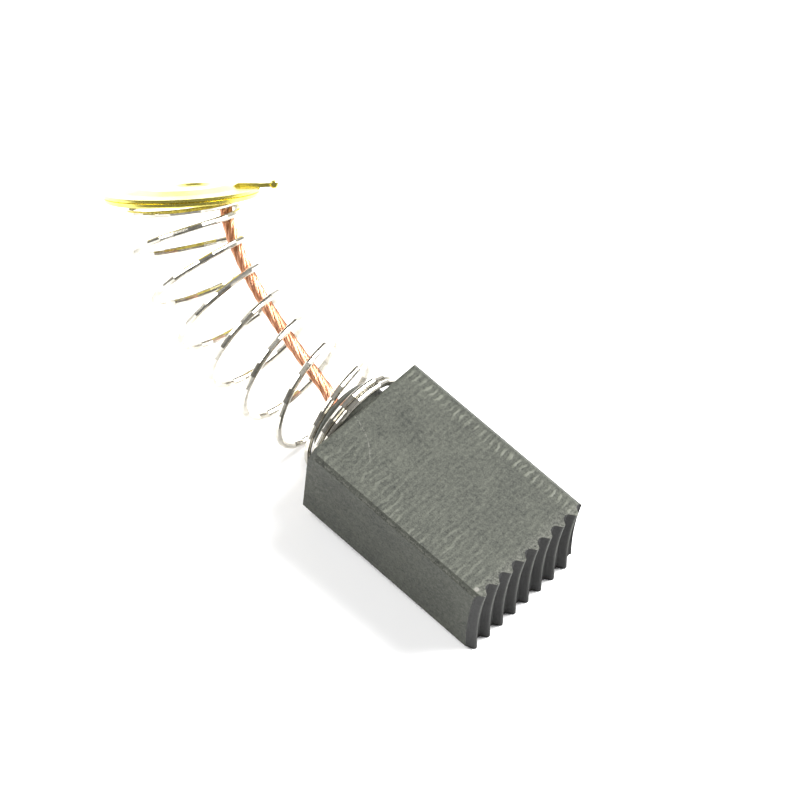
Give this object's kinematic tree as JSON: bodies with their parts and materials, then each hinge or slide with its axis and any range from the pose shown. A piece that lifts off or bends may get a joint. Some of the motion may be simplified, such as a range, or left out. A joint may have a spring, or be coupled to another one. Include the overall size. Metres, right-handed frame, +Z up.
{
  "type": "carbon brush",
  "caption": "Rectangular carbon brush with a ridged contact face, a copper shunt inside a bent coil spring, and a round brass terminal cap.",
  "frame": {"origin": "middle of the block's bottom wide face", "axes": "+X towards the ridged contact face, +Y across the ridges, +Z up out of the wide face"},
  "size_m": [0.0424, 0.0136, 0.0147],
  "materials": {
    "carbon": "satin",
    "copper_powder": "matte",
    "spring_wire": "gloss",
    "copper": "satin",
    "weld": "satin",
    "brass": "gloss"
  },
  "bodies": {
    "root": {"carbon_block": "carbon", "tamped_plug": "copper_powder", "spring": "spring_wire", "shunt": "copper", "weld_bead": "weld", "terminal_cap": "brass"}
  },
  "joints": []
}
